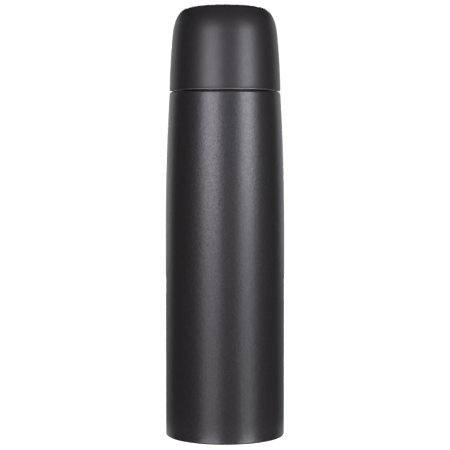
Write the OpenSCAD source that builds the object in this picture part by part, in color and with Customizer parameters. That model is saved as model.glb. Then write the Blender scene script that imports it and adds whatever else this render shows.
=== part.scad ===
// Vacuum flask: double-walled steel bottle, push-button stopper and screw-on cup.
// Millimetres. The origin is the centre of the foot on the table, and +Z is up.
// Both screw threads are right-handed and share one lead.

/* [Bottle] */
// Outside diameter of the straight lower part
body_d = 85; // [83:0.5:88]
// Height of the shoulder ledge above the table
body_h = 245.6; // [244:0.2:247]
// Height at which the straight part ends and the taper begins
straight_h = 142; // [110:1:160]
// Radius of the long arc that the taper follows
taper_arc_r = 1760; // [1600:10:2400]
// Rounding of the shoulder's edge
shoulder_round = 1.6; // [0.8:0.1:2.2]
// Rounding of the foot's outer edge
foot_round = 1.2; // [0.9:0.1:2.2]
// Inside diameter of the recess under the foot
foot_recess_d = 71; // [68:0.5:72]
// Height of the flange that turns up round that recess
foot_flange_h = 4; // [3.5:0.1:4.5]
// Thickness of the sheet steel
steel_t = 0.5; // [0.4:0.05:0.6]

/* [Neck] */
// Outside diameter of the outer neck tube
neck_d = 58; // [57.5:0.1:58.5]
// Inside diameter of the mouth
mouth_d = 50; // [49.8:0.1:50.4]
// Height of the outer neck tube's top edge
neck_top = 262; // [261:0.5:262]
// Outside diameter of the plastic collar
collar_d = 66.8; // [66:0.1:67]
// Height of the collar
collar_h = 11; // [10.5:0.1:12]

/* [Inner bottle] */
// Outside diameter of the inner bottle
liner_d = 75; // [73:0.5:76]
// Height at which its shoulder begins
liner_shoulder_z = 203; // [190:1:204]
// Radius of its shoulder
liner_shoulder_r = 30; // [28:0.5:31]
// Radius of the blend from shoulder to neck
liner_neck_blend = 8; // [6:0.5:9]
// Lowest point of its domed base
liner_base_z = 13; // [12.5:0.1:16]
// Radius of the dome
liner_dome_r = 600; // [500:20:900]
// Radius of the corner between dome and wall
liner_knuckle_r = 5; // [4:0.5:6]

/* [Cup] */
// Gap between the bottle's shoulder and the cup's lip
joint_gap = 0.8; // [0.6:0.1:1.2]
// Outside diameter of the cup at its lip
cup_d = 79.1; // [78.5:0.1:80]
// Overall height of the flask
flask_h = 306.5; // [306:0.5:310]
// Draft of the cup's side at the lip, in degrees
cup_draft = 1.15; // [0.8:0.05:1.3]
// Radius of the cup's slightly bulged side
cup_side_r = 530; // [480:10:700]
// Height at which the rounding of the cup's top edge begins
cup_corner_z = 286.5; // [284:0.5:288]
// Length of the curve's handle along the side, which sets how full the rounding is
corner_side_pull = 11.5; // [9:0.5:12]
// Length of the curve's handle along the top
corner_top_pull = 7; // [6:0.5:8]
// Radius at which the rounding meets the crown
crown_edge_r = 24.8; // [22:0.2:25.4]
// Rise of the crown at its centre
crown_rise = 0.95; // [0.5:0.05:1.5]
// Height of the bare steel lip
lip_h = 0.4; // [0.3:0.1:0.8]
// Space between the cup's outer skin and the outside of its bowl
cup_gap = 1; // [0.8:0.1:1.2]

/* [Threads] */
// Rise per turn
thread_lead = 5; // [4.8:0.1:5.5]
// Height of a ridge above its wall
thread_h = 1.15; // [1:0.05:1.2]
// Width of a ridge where it leaves the wall
thread_root_w = 2.8; // [2.4:0.1:2.9]
// Width of a ridge at its crest
thread_crest_w = 1.4; // [1:0.1:1.5]
// Turns of each stopper ridge
stopper_thread_turns = 1.5; // [1.2:0.1:1.6]
// Turns of each cup ridge
cup_thread_turns = 1.2; // [1:0.1:1.3]

/* [Stopper] */
// Outside diameter of the plug
plug_d = 46.8; // [46.4:0.1:46.9]
// Wall of the plug
plug_wall = 2; // [1.8:0.1:2.2]
// Height of the plug's lower face above the table
plug_z = 226; // [225:0.5:227]
// Thickness of the plug's floor
plug_floor = 2.5; // [2:0.1:3]
// Diameter of the valve's seat
seat_d = 18; // [16:0.5:18.5]
// Outside diameter of the flange that closes the mouth
flange_d = 56; // [55:0.5:57]
// Thickness of that flange
flange_t = 4; // [3.5:0.1:4.5]
// Thickness of the ring that seals the mouth
gasket_t = 1.5; // [1.2:0.1:2]
// Outside diameter of the stopper's grip cap
cover_d = 55; // [54:0.5:55.5]
// Height of the grip cap
cover_h = 7; // [6.8:0.1:7.5]
// Wall of the grip cap
cover_wall = 1.8; // [1.5:0.1:2]
// Ribs in one full turn of the grip
grip_ribs = 48; // [36:4:60]

/* [Button and valve] */
// Outside diameter of the button
button_d = 26; // [25:0.5:26]
// How far the button travels
button_travel = 4; // [3:0.5:4]
// Wall of the button and of its well
button_wall = 1.5; // [1.4:0.1:1.8]
// Diameter of the valve's stem
stem_d = 6; // [5:0.5:6]
// Running clearance of the stem in its bore
stem_gap = 0.1; // [0.05:0.01:0.1]
// Diameter of the valve's disc
valve_d = 22.4; // [21:0.2:23]
// Thickness of the valve's silicone ring
valve_seal_t = 2; // [1.5:0.1:2.5]

/* [Release tabs] */
// Width of a tab's finger pad
pad_w = 14; // [12:0.5:14]
// How far a tab travels
tab_travel = 1.5; // [1:0.1:1.5]

/* [Hidden] */

$fn = 96;
arc_steps = 8;
taper_steps = 16;
corner_steps = 14;
thread_steps = 48;

coat = "#2b2a2c";
steel = "#b9b8b6";
black_plastic = "#1d1d1f";
grey_plastic = "#55565a";
silicone = "#c9c8c4";
copper = "#b87348";

// Bottle
body_r = body_d / 2;
neck_r = neck_d / 2;
mouth_r = mouth_d / 2;
recess_r = foot_recess_d / 2;
foot_bend_r = 1;
mouth_z = neck_top + steel_t;
taper_c = [body_r - taper_arc_r, straight_h];
taper_angle = asin((body_h - shoulder_round - straight_h) / (taper_arc_r - shoulder_round));
shoulder_c = taper_c + (taper_arc_r - shoulder_round) * [cos(taper_angle), sin(taper_angle)];

// Inner bottle
liner_r = liner_d / 2;
liner_neck_r = mouth_r + steel_t;
knuckle_c = [
    liner_r - liner_knuckle_r,
    liner_base_z + liner_dome_r
        - sqrt(pow(liner_dome_r - liner_knuckle_r, 2) - pow(liner_r - liner_knuckle_r, 2))
];
dome_angle = asin(knuckle_c[0] / (liner_dome_r - liner_knuckle_r));
liner_arc_c = [liner_r - liner_shoulder_r, liner_shoulder_z];
blend_dr = liner_neck_r + liner_neck_blend - liner_arc_c[0];
blend_reach = liner_shoulder_r + liner_neck_blend;
blend_c = liner_arc_c + [blend_dr, sqrt(pow(blend_reach, 2) - pow(blend_dr, 2))];
blend_angle = acos(blend_dr / blend_reach);

// Vacuum closure and getter
vacuum_z = foot_flange_h + 3;
dimple_r = 5;
dimple_h = 1.8;
pump_hole_r = 1.5;
closure_r = body_r - steel_t - 0.1;
closure_rim_h = 5;
getter_r = 5;
getter_h = 2;
foil_gap = 0.2;
foil_t = 0.2;
foil_margin = 6;

// Cup
cup_r = cup_d / 2;
cup_lip_z = body_h + joint_gap;
shell_z = cup_lip_z + lip_h;
cup_side_c = [cup_r, cup_lip_z] - cup_side_r * [cos(cup_draft), sin(cup_draft)];
crown_r = (pow(crown_edge_r, 2) + pow(crown_rise, 2)) / (2 * crown_rise);
crown_c = [0, flask_h - crown_r];
crown_angle = asin(crown_edge_r / crown_r);
corner_shrink = 0.55;
ring_r = 36.75;
ring_gap = 0.3;
ring_wall = 1.45;
ring_h = 10;
ring_z = shell_z + 1.2;
bowl_step_z = ring_z + ring_h + 1;

// Threads: an inside ridge lies half a pitch from the outside ridge that it runs with
thread_bury = 0.25;
thread_fade = 6;
stopper_thread_z = plug_z + 12.5;
collar_thread_z = body_h + 1.9;

// Stopper
plug_r = plug_d / 2;
plug_bore_r = plug_r - plug_wall;
flange_z = mouth_z + gasket_t;
deck_z = flange_z + flange_t;
flange_r = flange_d / 2;
button_r = button_d / 2;
well_r = button_r + 0.1;
well_depth = 16;
well_floor = 2;
well_z = deck_z - well_depth;
hub_r = 6;
hub_h = 5;
hub_pocket_r = 4.8;
hub_pocket_h = 2.5;
rib_t = 2;
rib_z = plug_z + 18;
stem_r = stem_d / 2;
stem_bore_r = stem_r + stem_gap;
cover_r = cover_d / 2;
cover_top = deck_z + cover_h;
cover_hole_r = button_r + 0.4;
pour_slot_r = [15, 21.5];
pour_slot_arc = 42;
grip_rib_r = 0.8;

// Button and valve
button_top = cover_top + button_travel;
button_bottom = well_z + well_floor + button_travel + 0.2;
button_crown = 0.5;
boss_r = 5.5;
boss_z = button_top - 8;
seal_z = plug_z - valve_seal_t;
valve_disc_t = 3;
valve_z = seal_z - valve_disc_t;

// Release tabs, described for the one on the +X side
tab_lift = 0.2;
tab_z = deck_z + tab_lift;
tab_inner_x = 15;
tab_plate_t = 1.2;
tab_plate_w = 12;
pad_inner_x = 25;
pad_r = cover_r + tab_travel;
pad_top = tab_z + 4.8;
pad_gap = 0.4;
ear_x = [21.5, 23.4];
ear_w = 18.4;
post_x = [17, 19];
post_w = 3.2;
post_h = 4;
slot_x = [16.6, 23];
slot_w = 4.4;
tab_spring_z = tab_z + 2.7;

function reversed(v) = [for (i = [len(v) - 1:-1:0]) v[i]];

// Points of an arc about c, from angle a0 to angle a1
function arc(c, rad, a0, a1, steps = arc_steps) =
    [for (i = [0:steps]) let (a = a0 + (a1 - a0) * i / steps) c + rad * [cos(a), sin(a)]];

// Points of a cubic curve from p0 to p3 with handles p1 and p2
function curve(p0, p1, p2, p3, steps = corner_steps) =
    [for (i = [0:steps]) let (t = i / steps, s = 1 - t)
        s * s * s * p0 + 3 * s * s * t * p1 + 3 * s * t * t * p2 + t * t * t * p3];

// The bottle's outer skin from the foot's flange to the neck, moved inwards by inset
function bottle_skin(inset) = concat(
    [[recess_r + inset, foot_flange_h]],
    arc([recess_r + foot_bend_r, foot_bend_r], foot_bend_r - inset, 180, 270, 4),
    arc([body_r - foot_round, foot_round], foot_round - inset, 270, 360),
    arc(taper_c, taper_arc_r - inset, 0, taper_angle, taper_steps),
    arc(shoulder_c, shoulder_round - inset, taper_angle + 5, 90),
    [[neck_r - inset, body_h - inset], [neck_r - inset, neck_top]]
);

// The inner bottle's skin from the edge of its dome to its neck, moved inwards by inset
function liner_skin(inset) = concat(
    arc(knuckle_c, liner_knuckle_r - inset, 270 + dome_angle, 360),
    arc(liner_arc_c, liner_shoulder_r - inset, 0, blend_angle),
    arc(blend_c, liner_neck_blend + inset, 180 + blend_angle, 180)
);

// The domed base's skin from the axis to its edge, moved inwards by inset
function dome_skin(inset) =
    arc([0, liner_base_z + liner_dome_r], liner_dome_r - inset, 270, 270 + dome_angle);

// The cup's skin from height z_from to the axis, moved inwards by inset
function cup_skin(inset, z_from) = let (
    side_r = cup_side_r - inset,
    a0 = asin((z_from - cup_side_c[1]) / side_r),
    a1 = asin((cup_corner_z - cup_side_c[1]) / side_r),
    p0 = cup_side_c + side_r * [cos(a1), sin(a1)],
    p3 = crown_c + (crown_r - inset) * [sin(crown_angle), cos(crown_angle)],
    pull = corner_shrink * inset
) concat(
    arc(cup_side_c, side_r, a0, a1),
    curve(
        p0,
        p0 + (corner_side_pull - pull) * [-sin(a1), cos(a1)],
        p3 + (corner_top_pull - pull) * [cos(crown_angle), -sin(crown_angle)],
        p3
    ),
    arc(crown_c, crown_r - inset, 90 - crown_angle + 0.5, 90)
);

// A revolved wall between an outer and an inner run of points
module wall(outer, inner) {
    rotate_extrude() polygon(concat(outer, reversed(inner)));
}

module ring(r_in, r_out, z, h) {
    translate([0, 0, z]) difference() {
        cylinder(r = r_out, h = h);
        translate([0, 0, -1]) cylinder(r = r_in, h = h + 2);
    }
}

// A solid through a row of closed sections, which turn about the direction of travel
module swept(sections, outward = true) {
    n = len(sections[0]);
    last = (len(sections) - 1) * n;
    sides = [for (i = [0:len(sections) - 2], j = [0:n - 1])
        let (a = i * n + j, b = i * n + (j + 1) % n)
            each [[a, b, b + n], [a, b + n, a + n]]];
    caps = [[for (j = [n - 1:-1:0]) j], [for (j = [0:n - 1]) last + j]];
    faces = concat(sides, caps);
    polyhedron(
        points = [for (s = sections) each s],
        faces = outward ? faces : [for (f = faces) reversed(f)],
        convexity = 8
    );
}

// A thread ridge on a wall of radius wall_r; way is 1 outwards and -1 inwards
module thread_ridge(wall_r, way, z_from, turns) {
    steps = ceil(turns * thread_steps);
    root_r = wall_r - way * thread_bury;
    sections = [for (i = [0:steps]) let (
        a = 360 * turns * i / steps,
        z = z_from + thread_lead * a / 360,
        fade = min(1, i / thread_fade, (steps - i) / thread_fade),
        crest_r = wall_r + way * ((thread_h + 0.1) * fade - 0.1)
    ) [for (p = [
        [root_r, -thread_root_w / 2], [crest_r, -thread_crest_w / 2],
        [crest_r, thread_crest_w / 2], [root_r, thread_root_w / 2]
    ]) [p[0] * cos(a), p[0] * sin(a), z + p[1]]]];
    swept(sections, way > 0);
}

// A coil spring of the given length that stands on z = 0
module coil(mean_r, wire_r, length, turns, steps = 18, sides = 8) {
    count = turns * steps;
    rise = length - 2 * wire_r;
    swept([for (i = [0:count]) let (a = 360 * i / steps, z = wire_r + rise * i / count)
        [for (j = [0:sides - 1]) let (b = 360 * j / sides, r = mean_r + wire_r * cos(b))
            [r * cos(a), r * sin(a), z + wire_r * sin(b)]]]);
}

module outer_shell() {
    color(coat) wall(bottle_skin(0), bottle_skin(steel_t));
}

module base_plate() {
    step = 0.8;
    z = foot_flange_h - 1.4;
    plate_r = recess_r - 0.05;
    lower = [[0, z + step], [18, z + step], [19, z], [plate_r, z]];
    color(steel) wall(lower, [for (p = lower) p + [0, steel_t]]);
}

module vacuum_base() {
    slope = 1.5;
    lower = [
        [pump_hole_r, vacuum_z + dimple_h], [dimple_r, vacuum_z + dimple_h],
        [dimple_r + slope, vacuum_z], [closure_r, vacuum_z],
        [closure_r, vacuum_z + closure_rim_h]
    ];
    upper = [
        [pump_hole_r, vacuum_z + dimple_h + steel_t], [dimple_r + 0.3, vacuum_z + dimple_h + steel_t],
        [dimple_r + slope + 0.3, vacuum_z + steel_t], [closure_r - steel_t, vacuum_z + steel_t],
        [closure_r - steel_t, vacuum_z + closure_rim_h]
    ];
    color(steel) wall(lower, upper);
}

module seal_bead() {
    bead_r = dimple_r - 0.4;
    top = vacuum_z + dimple_h;
    color("#7f8b86") rotate_extrude() polygon([
        [0, top - 1.3], [bead_r - 1.2, top - 1.3], [bead_r, top - 0.4], [bead_r, top],
        [pump_hole_r - 0.05, top], [pump_hole_r - 0.05, top + 0.7], [0, top + 0.7]
    ]);
}

module getter() {
    color("#8d8f93") translate([20, 0, vacuum_z + steel_t]) cylinder(r = getter_r, h = getter_h);
}

module inner_liner() {
    outer = concat(liner_skin(0), [[liner_neck_r, neck_top], [neck_r, neck_top], [neck_r, mouth_z]]);
    inner = concat(liner_skin(steel_t), [[mouth_r, mouth_z]]);
    color(steel) union() {
        wall(outer, inner);
        thread_ridge(mouth_r, -1, stopper_thread_z + thread_lead / 2, stopper_thread_turns);
    }
}

module liner_base() {
    color(steel) wall(dome_skin(0), dome_skin(steel_t));
}

module copper_foil() {
    foil_r = liner_r + foil_gap;
    foil_z = knuckle_c[1] + foil_margin;
    color(copper) ring(foil_r, foil_r + foil_t, foil_z, liner_shoulder_z - foil_margin - foil_z);
}

module neck_collar() {
    color(black_plastic) union() {
        ring(neck_r + 0.05, collar_d / 2, body_h, collar_h);
        thread_ridge(collar_d / 2, 1, collar_thread_z, cup_thread_turns);
    }
}

module neck_gasket() {
    color(silicone) ring(plug_r + 0.2, flange_r + 0.2, mouth_z, gasket_t);
}

module stopper_body() {
    color(black_plastic) difference() {
        union() {
            ring(plug_bore_r, plug_r, plug_z, flange_z - plug_z + 1);
            ring(plug_bore_r, flange_r, flange_z, flange_t);
            translate([0, 0, plug_z]) cylinder(r = plug_r, h = plug_floor);
            translate([0, 0, well_z]) cylinder(r = well_r + button_wall, h = well_depth);
            translate([0, 0, well_z - hub_h + 1]) cylinder(r = hub_r, h = hub_h);
            for (a = [0:90:270]) rotate([0, 0, a])
                translate([well_r + 0.5, -rib_t / 2, rib_z])
                    cube([plug_bore_r - well_r, rib_t, deck_z - rib_z]);
            for (a = [0, 180]) rotate([0, 0, a])
                translate([post_x[0], -post_w / 2, deck_z - 2])
                    cube([post_x[1] - post_x[0], post_w, post_h + 2]);
            thread_ridge(plug_r, 1, stopper_thread_z, stopper_thread_turns);
        }
        translate([0, 0, plug_z - 1]) cylinder(d = seat_d, h = plug_floor + 2);
        translate([0, 0, well_z + well_floor]) cylinder(r = well_r, h = well_depth);
        translate([0, 0, well_z - hub_h]) cylinder(r = stem_bore_r, h = hub_h + well_floor + 1);
        translate([0, 0, well_z - hub_h]) cylinder(r = hub_pocket_r, h = hub_pocket_h + 1);
    }
}

module stopper_cover() {
    window_w = pad_w + 2 * pad_gap;
    window_h = pad_top + pad_gap - deck_z;
    window_angle = asin(window_w / 2 / cover_r) + 3;
    color(black_plastic) difference() {
        union() {
            translate([0, 0, deck_z]) cylinder(r = cover_r, h = cover_h - 1);
            translate([0, 0, cover_top - 1]) rotate_extrude() polygon([
                [0, 0], [cover_r, 0], [cover_r - 0.3, 0.7], [cover_r - 1, 1], [0, 1]
            ]);
            for (i = [0:grip_ribs - 1]) {
                a = 360 * (i + 0.5) / grip_ribs;
                if (abs(sin(a)) > sin(window_angle)) rotate([0, 0, a])
                    translate([cover_r - 0.2, 0, deck_z]) cylinder(r = grip_rib_r, h = cover_h - 1.5, $fn = 24);
            }
        }
        translate([0, 0, deck_z - 1]) cylinder(r = cover_r - cover_wall, h = cover_h - cover_wall + 1);
        translate([0, 0, deck_z]) cylinder(r = cover_hole_r, h = cover_h + 1);
        translate([-cover_r - 2, -window_w / 2, deck_z - 1]) cube([2 * cover_r + 4, window_w, window_h + 1]);
        for (a = [45:90:315]) rotate([0, 0, a - pour_slot_arc / 2]) translate([0, 0, deck_z])
            rotate_extrude(angle = pour_slot_arc) translate([pour_slot_r[0], 0])
                square([pour_slot_r[1] - pour_slot_r[0], cover_h + 1]);
    }
}

module stem_seal() {
    color(silicone) ring(stem_r + 0.04, hub_pocket_r - 0.05, well_z - hub_h + 1.2, hub_pocket_h - 0.4);
}

module button_spring() {
    length = boss_z - well_z - well_floor;
    color(steel) translate([0, 0, well_z + well_floor]) coil(4.3, 0.45, length, 7);
}

module tab_spring() {
    color(steel) translate([post_x[1], 0, tab_spring_z]) rotate([0, 90, 0])
        coil(1.3, 0.25, pad_inner_x - post_x[1], 5, 14, 6);
}

module tab_spring_left() {
    mirror([1, 0, 0]) tab_spring();
}

module tab_spring_right() {
    tab_spring();
}

module push_button() {
    skirt_top = button_top - button_crown - button_wall;
    color(grey_plastic) rotate_extrude() polygon(concat(
        [[stem_r, boss_z], [boss_r, boss_z], [boss_r, skirt_top], [button_r - button_wall, skirt_top]],
        [[button_r - button_wall, button_bottom], [button_r, button_bottom]],
        arc([button_r - 1, button_top - button_crown - 1], 1, 0, 75),
        [[button_r / 2, button_top - button_crown / 4], [0, button_top]],
        [[0, skirt_top], [stem_r, skirt_top]]
    ));
}

module valve_stem() {
    stem_top = button_top - button_crown - button_wall;
    color(steel) translate([0, 0, valve_z]) cylinder(r = stem_r, h = stem_top - valve_z);
}

module valve_disc() {
    hub = 5;
    color(black_plastic) difference() {
        union() {
            translate([0, 0, valve_z]) cylinder(d = valve_d, h = valve_disc_t);
            translate([0, 0, valve_z]) cylinder(r = hub, h = plug_z - valve_z + 1);
        }
        translate([0, 0, valve_z - 1]) cylinder(r = stem_r, h = plug_z - valve_z + 3);
    }
}

module valve_seal() {
    color(silicone) ring(5, valve_d / 2 + 0.4, seal_z, valve_seal_t);
}

module release_tab() {
    ear_h = 2.8;
    color(grey_plastic) difference() {
        union() {
            translate([tab_inner_x, -tab_plate_w / 2, tab_z])
                cube([pad_inner_x + 0.5 - tab_inner_x, tab_plate_w, tab_plate_t]);
            translate([ear_x[0], -ear_w / 2, tab_z]) cube([ear_x[1] - ear_x[0], ear_w, ear_h]);
            intersection() {
                translate([0, 0, tab_z]) cylinder(r = pad_r, h = pad_top - tab_z);
                translate([pad_inner_x, -pad_w / 2, tab_z]) cube([pad_w, pad_w, pad_top - tab_z]);
            }
        }
        translate([slot_x[0], -slot_w / 2, tab_z - 1]) cube([slot_x[1] - slot_x[0], slot_w, 3 + ear_h]);
        translate([ear_x[0] - 1, -slot_w / 2, tab_z - 1]) cube([pad_inner_x - ear_x[0] + 1, slot_w, 3 + ear_h]);
    }
}

module release_tab_left() {
    mirror([1, 0, 0]) release_tab();
}

module release_tab_right() {
    release_tab();
}

module cup_liner() {
    inset = steel_t + cup_gap;
    ease = 0.2;
    side_r = ring_r + ring_gap;
    outer = concat(
        [[side_r, cup_lip_z + ease], [side_r + ease, cup_lip_z], [cup_r - 0.05 - ease, cup_lip_z]],
        [[cup_r - 0.05, cup_lip_z + ease], [cup_r - 0.05, shell_z], [side_r + steel_t, shell_z]],
        [[side_r + steel_t, bowl_step_z - 1]],
        cup_skin(inset, bowl_step_z)
    );
    inner = concat([[side_r, bowl_step_z - 1 - steel_t / 2]], cup_skin(inset + steel_t, bowl_step_z));
    color(steel) wall(outer, inner);
}

module cup_shell() {
    color(coat) wall(cup_skin(0, shell_z), cup_skin(steel_t, shell_z));
}

module cup_thread_ring() {
    bore_r = ring_r - ring_wall;
    color(black_plastic) union() {
        ring(bore_r, ring_r, ring_z, ring_h);
        thread_ridge(bore_r, -1, collar_thread_z + thread_lead / 2, cup_thread_turns);
    }
}

outer_shell();
base_plate();
vacuum_base();
seal_bead();
getter();
inner_liner();
liner_base();
copper_foil();
neck_collar();
neck_gasket();
stopper_body();
stopper_cover();
stem_seal();
button_spring();
tab_spring_left();
tab_spring_right();
push_button();
valve_stem();
valve_disc();
valve_seal();
release_tab_left();
release_tab_right();
cup_liner();
cup_shell();
cup_thread_ring();
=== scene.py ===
"""The looks of a vacuum flask: a powder-coated steel bottle with a push-button stopper and a screw-on cup.

Everything is in metres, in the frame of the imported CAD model: the origin is the centre of the foot,
+Z is up, +X is to the viewer's right and +Y points away from the viewer.
"""

import math

import bmesh
import bpy
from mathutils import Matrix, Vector


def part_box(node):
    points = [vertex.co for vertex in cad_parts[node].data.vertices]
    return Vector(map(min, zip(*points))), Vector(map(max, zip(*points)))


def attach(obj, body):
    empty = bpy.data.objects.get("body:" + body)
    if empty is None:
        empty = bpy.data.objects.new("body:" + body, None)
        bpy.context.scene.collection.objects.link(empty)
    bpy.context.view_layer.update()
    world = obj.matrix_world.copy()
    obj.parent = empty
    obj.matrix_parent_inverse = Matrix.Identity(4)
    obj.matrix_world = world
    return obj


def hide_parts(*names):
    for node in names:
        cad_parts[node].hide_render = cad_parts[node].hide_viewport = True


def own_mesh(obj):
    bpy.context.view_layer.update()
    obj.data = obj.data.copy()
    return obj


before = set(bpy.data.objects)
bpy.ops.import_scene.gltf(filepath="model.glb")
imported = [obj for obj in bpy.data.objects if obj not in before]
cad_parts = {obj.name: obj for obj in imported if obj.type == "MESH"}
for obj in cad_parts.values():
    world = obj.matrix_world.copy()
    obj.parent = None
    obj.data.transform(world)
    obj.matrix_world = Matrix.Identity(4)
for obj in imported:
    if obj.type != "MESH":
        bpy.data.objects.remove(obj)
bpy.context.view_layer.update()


# ---------------------------------------------------------------- sizes

MM = 0.001


def low(node):
    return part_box(node)[0].z


def top(node):
    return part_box(node)[1].z


def reach(node):
    """How far a round node's box reaches from the axis."""
    lowest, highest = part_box(node)
    return max(-lowest.x, highest.x, -lowest.y, highest.y)


SHEET = 0.5 * MM

# Bottle
BODY_R = reach("outer_shell")
LEDGE_Z = low("neck_collar")
NECK_TOP = top("outer_shell")
MOUTH_Z = top("inner_liner")
STRAIGHT_H = 142 * MM
TAPER_ARC_R = 1760 * MM
SHOULDER_ROUND = 1.6 * MM
FOOT_ROUND = 1.2 * MM
FOOT_BEND = 1 * MM
FOOT_FLANGE_H = 4 * MM
RECESS_R = reach("base_plate")
NECK_R = 29 * MM
MOUTH_R = 25 * MM

# Inner bottle
LINER_R = reach("inner_liner")
LINER_SHOULDER_Z = 203 * MM
LINER_SHOULDER_R = 30 * MM
LINER_NECK_BLEND = 8 * MM
LINER_BASE_Z = low("liner_base")
LINER_DOME_R = 600 * MM
LINER_KNUCKLE_R = 5 * MM

# Cup
LIP_Z = low("cup_liner")
CUP_R = reach("cup_liner") + 0.05 * MM
SHELL_Z = low("cup_shell")
FLASK_H = top("cup_shell")
CUP_DRAFT = math.radians(1.15)
CUP_SIDE_R = 530 * MM
CUP_CORNER_Z = 286.5 * MM
CORNER_SIDE_PULL = 11.5 * MM
CORNER_TOP_PULL = 7 * MM
CROWN_EDGE_R = 24.8 * MM
CROWN_RISE = 0.95 * MM
CORNER_SHRINK = 0.55
CUP_GAP = 1 * MM
RING_R = reach("cup_thread_ring")
RING_WALL = 1.45 * MM
RING_GAP = 0.3 * MM

# Threads
LEAD = 5 * MM
THREAD_H = 1.15 * MM
THREAD_ROOT_W = 2.8 * MM
THREAD_CREST_W = 1.4 * MM
CREST_STEPS = 3
STOPPER_TURNS = 1.5
CUP_TURNS = 1.2
STOPPER_THREAD_Z = low("stopper_body") + 12.5 * MM
COLLAR_THREAD_Z = LEDGE_Z + 1.9 * MM
COLLAR_R = 33.4 * MM

# Stopper
PLUG_Z = low("stopper_body")
PLUG_R = 23.4 * MM
PLUG_WALL = 2 * MM
PLUG_FLOOR = 2.5 * MM
SEAT_R = 9 * MM
FLANGE_Z = top("neck_gasket")
FLANGE_R = reach("stopper_body")
DECK_Z = low("stopper_cover")
COVER_TOP = top("stopper_cover")
COVER_R = 27.5 * MM
COVER_WALL = 1.8 * MM
BUTTON_R = reach("push_button")
BUTTON_TOP = top("push_button")
WELL_R = BUTTON_R + 0.1 * MM
WELL_WALL = 1.5 * MM
WELL_Z = DECK_Z - 16 * MM
WELL_FLOOR = 2 * MM
STEM_R = 3 * MM
BOSS_R = 5.5 * MM
BOSS_Z = BUTTON_TOP - 8 * MM
DISC_HUB_R = 5 * MM
POST_X = (17 * MM, 19 * MM)
TAB_Z = low("release_tab_right")
TAB_TOP = top("release_tab_right")
PAD_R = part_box("release_tab_right")[1].x
PAD_X = 25 * MM


# ---------------------------------------------------------------- outlines, as (r, z) points


def arc(centre, radius, start, end, steps=12):
    """Points of an arc about centre; angles in radians."""
    points = []
    for i in range(steps + 1):
        a = start + (end - start) * i / steps
        points.append((centre[0] + radius * math.cos(a), centre[1] + radius * math.sin(a)))
    return points


def curve(p0, p1, p2, p3, steps=24):
    """Points of a cubic curve from p0 to p3 with handles p1 and p2."""
    points = []
    for i in range(steps + 1):
        t = i / steps
        s = 1 - t
        weights = (s**3, 3 * s * s * t, 3 * s * t * t, t**3)
        points.append(tuple(sum(w * p[k] for w, p in zip(weights, (p0, p1, p2, p3))) for k in (0, 1)))
    return points


def bottle_skin(inset):
    """The bottle's outer skin from the flange in its foot up to the shoulder, moved inwards by inset."""
    taper_c = (BODY_R - TAPER_ARC_R, STRAIGHT_H)
    inner = TAPER_ARC_R - SHOULDER_ROUND
    angle = math.asin((LEDGE_Z - SHOULDER_ROUND - STRAIGHT_H) / inner)
    shoulder_c = (taper_c[0] + inner * math.cos(angle), taper_c[1] + inner * math.sin(angle))
    past_taper = 0.08
    return (
        [(RECESS_R + inset, FOOT_FLANGE_H)]
        + arc((RECESS_R + FOOT_BEND, FOOT_BEND), FOOT_BEND - inset, math.pi, 1.5 * math.pi, 6)
        + arc((BODY_R - FOOT_ROUND, FOOT_ROUND), FOOT_ROUND - inset, 1.5 * math.pi, 2 * math.pi)
        + arc(taper_c, TAPER_ARC_R - inset, 0, angle, 24)
        + arc(shoulder_c, SHOULDER_ROUND - inset, angle + past_taper, math.pi / 2)
    )


def dome_edge():
    """The centre of the inner bottle's round bottom corner, and the angle at which the dome meets it."""
    span = LINER_DOME_R - LINER_KNUCKLE_R
    across = LINER_R - LINER_KNUCKLE_R
    height = LINER_BASE_Z + LINER_DOME_R - math.sqrt(span**2 - across**2)
    return (across, height), math.asin(across / span)


def liner_skin(inset):
    """The inner bottle's skin from the edge of its dome to its neck, moved inwards by inset."""
    corner_c, dome_angle = dome_edge()
    shoulder_c = (LINER_R - LINER_SHOULDER_R, LINER_SHOULDER_Z)
    run = MOUTH_R + SHEET + LINER_NECK_BLEND - shoulder_c[0]
    span = LINER_SHOULDER_R + LINER_NECK_BLEND
    blend_c = (shoulder_c[0] + run, shoulder_c[1] + math.sqrt(span**2 - run**2))
    angle = math.acos(run / span)
    return (
        arc(corner_c, LINER_KNUCKLE_R - inset, 1.5 * math.pi + dome_angle, 2 * math.pi)
        + arc(shoulder_c, LINER_SHOULDER_R - inset, 0, angle, 16)
        + arc(blend_c, LINER_NECK_BLEND + inset, math.pi + angle, math.pi)[1:]
    )


def dome_skin(inset):
    """The inner bottle's domed base from the axis to its edge, moved inwards by inset."""
    dome_c = (0.0, LINER_BASE_Z + LINER_DOME_R)
    rim = arc(dome_c, LINER_DOME_R - inset, 1.5 * math.pi, 1.5 * math.pi + dome_edge()[1], 20)
    return [(0.0, LINER_BASE_Z + inset)] + rim[1:]


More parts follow.
